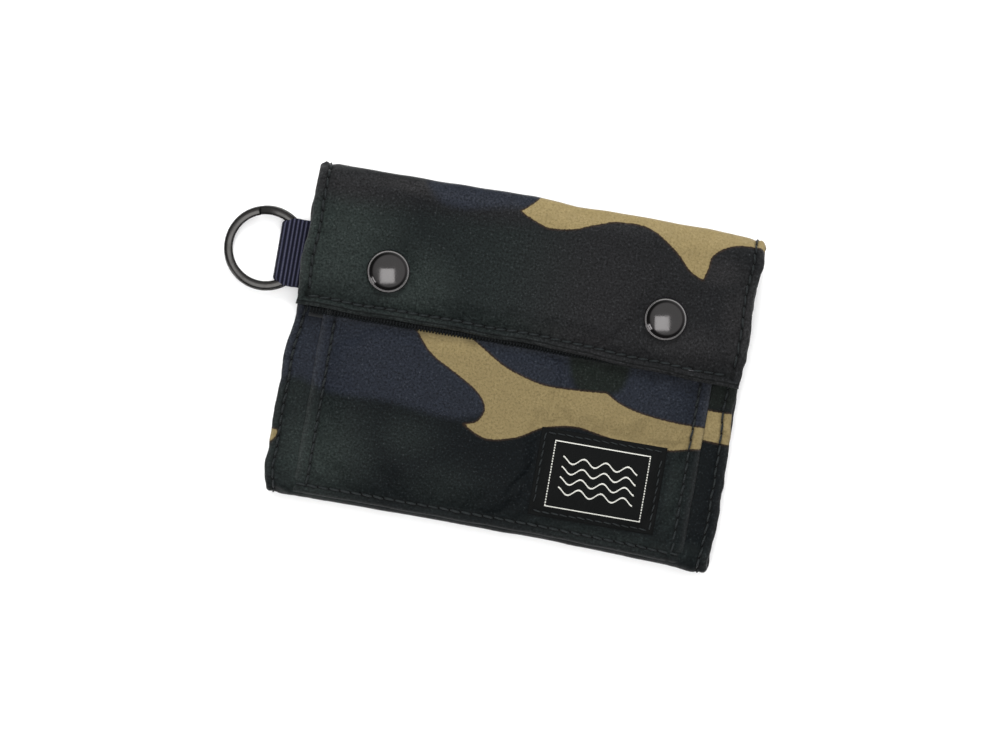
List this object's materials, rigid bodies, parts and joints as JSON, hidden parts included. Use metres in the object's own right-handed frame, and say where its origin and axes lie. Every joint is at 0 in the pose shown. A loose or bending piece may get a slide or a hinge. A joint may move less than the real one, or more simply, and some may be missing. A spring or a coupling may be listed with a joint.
{
  "type": "trifold wallet",
  "caption": "Camouflage cloth trifold wallet with a snap flap, a zipped coin pocket, a woven label and a key ring on a webbing loop.",
  "frame": {"origin": "centre of the outer face of the back panel, which the closed wallet lies on", "axes": "+X to the right along the folds, +Y towards the top fold, +Z out of the front"},
  "size_m": [0.1435, 0.09, 0.0165],
  "materials": {
    "camo_cloth": "satin",
    "lining_cloth": "satin",
    "interlining": "matte",
    "webbing": "matte",
    "zipper_tape": "matte",
    "zipper_coil": "satin",
    "zipper_metal": "satin",
    "snap_metal": "gloss",
    "label_cloth": "matte",
    "ring_metal": "gloss"
  },
  "bodies": {
    "back": {"back_shell": "camo_cloth", "back_interlining": "interlining", "bill_pocket_seam": "lining_cloth", "inner_panel": "lining_cloth", "card_slot_upper": "lining_cloth", "card_slot_lower": "lining_cloth", "card_slot_seams": "lining_cloth", "webbing_tail": "webbing"},
    "top_spine": {"top_spine_shell": "camo_cloth", "top_spine_lining": "lining_cloth"},
    "flap": {"flap_shell": "camo_cloth", "flap_interlining": "interlining", "flap_lining": "lining_cloth", "snap_caps": "snap_metal", "snap_sockets": "snap_metal"},
    "bottom_spine": {"bottom_spine_shell": "camo_cloth", "bottom_spine_lining": "lining_cloth"},
    "front": {"front_shell": "camo_cloth", "front_interlining": "interlining", "front_lining": "lining_cloth", "front_card_slot": "lining_cloth", "front_slot_seam": "lining_cloth", "stud_backing": "lining_cloth", "snap_studs": "snap_metal", "coin_pocket_front": "camo_cloth", "coin_pocket_seam": "lining_cloth", "woven_label": "label_cloth", "zipper_tape_upper": "zipper_tape", "zipper_tape_lower": "zipper_tape", "zipper_coil_upper": "zipper_coil", "zipper_coil_lower": "zipper_coil", "zipper_stops": "zipper_metal"},
    "slider": {"zipper_slider": "zipper_metal"},
    "pull": {"zipper_pull": "zipper_metal"},
    "loop": {"webbing_loop": "webbing"},
    "ring": {"split_ring": "ring_metal"}
  },
  "joints": [
    {"name": "flap_fold", "type": "hinge", "parent": "back", "child": "top_spine", "pos_m": [0, 0.0441, 0.0009], "axis": [-1, 0, 0], "range_deg": [0, 80]},
    {"name": "flap_crease", "type": "hinge", "parent": "top_spine", "child": "flap", "pos_m": [0, 0.0441, 0.0136], "axis": [-1, 0, 0], "range_deg": [0, 100]},
    {"name": "front_fold", "type": "hinge", "parent": "back", "child": "bottom_spine", "pos_m": [0, -0.0441, 0.0009], "axis": [1, 0, 0], "range_deg": [0, 45]},
    {"name": "front_crease", "type": "hinge", "parent": "bottom_spine", "child": "front", "pos_m": [0, -0.0441, 0.0072], "axis": [1, 0, 0], "range_deg": [0, 135]},
    {"name": "zip_slide", "type": "slide", "parent": "front", "child": "slider", "axis": [-1, 0, 0], "range_m": [0, 0.092]},
    {"name": "pull_swivel", "type": "hinge", "parent": "slider", "child": "pull", "pos_m": [0.0442, 0.0069, 0.01175], "axis": [0, 0, 1], "range_deg": [-20, 40]},
    {"name": "loop_bend", "type": "hinge", "parent": "back", "child": "loop", "pos_m": [-0.0607, 0.02, 0.0051], "axis": [0, 1, 0], "range_deg": [0, 60]},
    {"name": "ring_turn", "type": "hinge", "parent": "loop", "child": "ring", "pos_m": [-0.07158, 0.02, 0.00223], "axis": [-0.0558, 0, 0.9984], "continuous": true}
  ],
  "couplings": [
    {"joint": "flap_crease", "follows": "flap_fold", "ratio": 1.25},
    {"joint": "front_crease", "follows": "front_fold", "ratio": 3}
  ]
}
